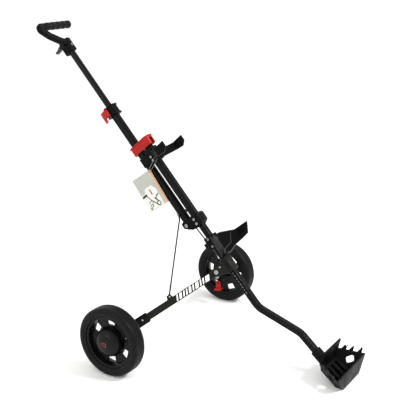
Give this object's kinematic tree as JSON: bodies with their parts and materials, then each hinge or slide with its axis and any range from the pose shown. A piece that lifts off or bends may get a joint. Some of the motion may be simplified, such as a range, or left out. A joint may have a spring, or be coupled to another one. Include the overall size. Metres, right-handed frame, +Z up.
{
  "type": "golf bag on push cart",
  "caption": "folding two-wheel pull cart for a golf bag, standing open and empty: sloping twin tubes, curved bag cradles, splayed legs with wheels, front foot and T handle",
  "frame": {"origin": "on the floor, in the middle of the cart's box", "axes": "+X across the cart, to the left of a person who walks behind the handle; +Y back toward the handle; +Z up"},
  "size_m": [0.796, 1.174, 1.0649],
  "materials": {
    "grey_tube": "satin graphite powder coat",
    "bright_shaft": "glossy graphite paint",
    "leg_paint": "satin olive grey powder coat",
    "black_plastic": "moulded, fine grain",
    "wheel_plastic": "moulded, satin",
    "tyre_rubber": "worn rubber",
    "grip_rubber": "soft matt rubber",
    "red_plastic": "semi gloss",
    "zinc_steel": "zinc plated",
    "dark_wire": "black wire",
    "lever_plastic": "moulded",
    "tag_board": "printed card",
    "tag_thread": "thin twisted thread"
  },
  "bodies": {
    "frame": {"lower_tube": "grey_tube", "hub_bracket": "leg_paint", "right_leg_pin": "zinc_steel", "left_leg_pin": "zinc_steel", "lower_cradle": "black_plastic", "lower_cradle_screws": "zinc_steel", "foot_base": "black_plastic"},
    "upper_frame": {"front_tube": "grey_tube", "fold_block": "black_plastic", "fold_pin": "zinc_steel", "block_screws": "zinc_steel", "upper_cradle": "black_plastic", "upper_cradle_screws": "zinc_steel", "tag_card": "tag_board", "tag_string": "tag_thread"},
    "handle_tube": {"back_tube": "grey_tube", "rod_pin": "zinc_steel", "shaft_collar": "black_plastic", "cam_lever_pin": "zinc_steel"},
    "lock": {"lock_sleeve": "red_plastic"},
    "cam_lever_body": {"cam_lever": "red_plastic"},
    "handle": {"handle_shaft": "bright_shaft", "shaft_guide": "black_plastic", "handle_head": "black_plastic", "head_bolt": "zinc_steel", "grip": "grip_rubber", "head_lever_pin": "zinc_steel"},
    "head_lever_body": {"head_lever": "lever_plastic"},
    "brake": {"brake_pedal": "red_plastic"},
    "right_leg_body": {"right_leg": "leg_paint", "right_rod_lug": "leg_paint", "right_axle_socket": "black_plastic", "right_axle": "zinc_steel", "right_axle_washer": "zinc_steel"},
    "right_wheel": {"right_wheel_disc": "wheel_plastic", "right_tyre": "tyre_rubber", "right_wheel_bushes": "wheel_plastic", "right_hub_cap": "wheel_plastic"},
    "right_rod": {"right_link_rod": "dark_wire"},
    "left_leg_body": {"left_leg": "leg_paint", "left_rod_lug": "leg_paint", "left_axle_socket": "black_plastic", "left_axle": "zinc_steel", "left_axle_washer": "zinc_steel", "brake_bracket": "black_plastic"},
    "left_wheel": {"left_wheel_disc": "wheel_plastic", "left_tyre": "tyre_rubber", "left_wheel_bushes": "wheel_plastic", "left_hub_cap": "wheel_plastic"},
    "left_rod": {"left_link_rod": "dark_wire"}
  },
  "joints": [
    {"name": "upper_frame_slide", "type": "slide", "parent": "frame", "child": "upper_frame", "axis": [0, -0.6652, -0.7466], "range_m": [0, 0.006]},
    {"name": "handle_fold", "type": "hinge", "parent": "upper_frame", "child": "handle_tube", "pos_m": [0, 0.01788, 0.41584], "axis": [-1, 0, 0], "range_deg": [0, 165]},
    {"name": "right_leg_fold", "type": "hinge", "parent": "frame", "child": "right_leg_body", "pos_m": [-0.04284, -0.11056, 0.28026], "axis": [-0.6305, -0.5795, 0.5163], "range_deg": [0, 47]},
    {"name": "left_leg_fold", "type": "hinge", "parent": "frame", "child": "left_leg_body", "pos_m": [0.04284, -0.11056, 0.28026], "axis": [-0.6305, 0.5795, -0.5163], "range_deg": [0, 47]},
    {"name": "right_rod_turn", "type": "hinge", "parent": "handle_tube", "child": "right_rod", "pos_m": [-0.022, 0.04948, 0.45131], "axis": [0.9981, -0.0295, -0.0532], "range_deg": [0, 158]},
    {"name": "left_rod_turn", "type": "hinge", "parent": "handle_tube", "child": "left_rod", "pos_m": [0.022, 0.04948, 0.45131], "axis": [0.9981, 0.0295, 0.0532], "range_deg": [0, 158]},
    {"name": "shaft_slide", "type": "slide", "parent": "handle_tube", "child": "handle", "axis": [0, 0.6652, 0.7466], "range_m": [-0.19, 0.05]},
    {"name": "lock_slide", "type": "slide", "parent": "handle_tube", "child": "lock", "axis": [0, 0.6652, 0.7466], "range_m": [0, 0.04]},
    {"name": "cam_lever_turn", "type": "hinge", "parent": "handle_tube", "child": "cam_lever_body", "pos_m": [-0.024, 0.33718, 0.76821], "axis": [0, 0.6652, 0.7466], "range_deg": [0, 100]},
    {"name": "head_lever_turn", "type": "hinge", "parent": "handle", "child": "head_lever_body", "pos_m": [0, 0.5535, 0.97192], "axis": [-1, 0, 0], "range_deg": [0, 45]},
    {"name": "right_wheel_spin", "type": "hinge", "parent": "right_leg_body", "child": "right_wheel", "pos_m": [-0.357, 0.084, 0.115], "axis": [1, 0, 0], "continuous": true},
    {"name": "left_wheel_spin", "type": "hinge", "parent": "left_leg_body", "child": "left_wheel", "pos_m": [0.357, 0.084, 0.115], "axis": [1, 0, 0], "continuous": true},
    {"name": "brake_pedal_turn", "type": "hinge", "parent": "left_leg_body", "child": "brake", "pos_m": [0.29, 0.076, 0.09], "axis": [-1, 0, 0], "range_deg": [0, 14]}
  ],
  "couplings": [
    {"joint": "upper_frame_slide", "follows": "handle_fold", "m_per_rad": 0.0013708},
    {"joint": "right_leg_fold", "follows": "handle_fold", "ratio": 0.27273},
    {"joint": "left_leg_fold", "follows": "handle_fold", "ratio": 0.27273},
    {"joint": "right_rod_turn", "follows": "handle_fold", "ratio": 0.93731},
    {"joint": "left_rod_turn", "follows": "handle_fold", "ratio": 0.93731}
  ]
}
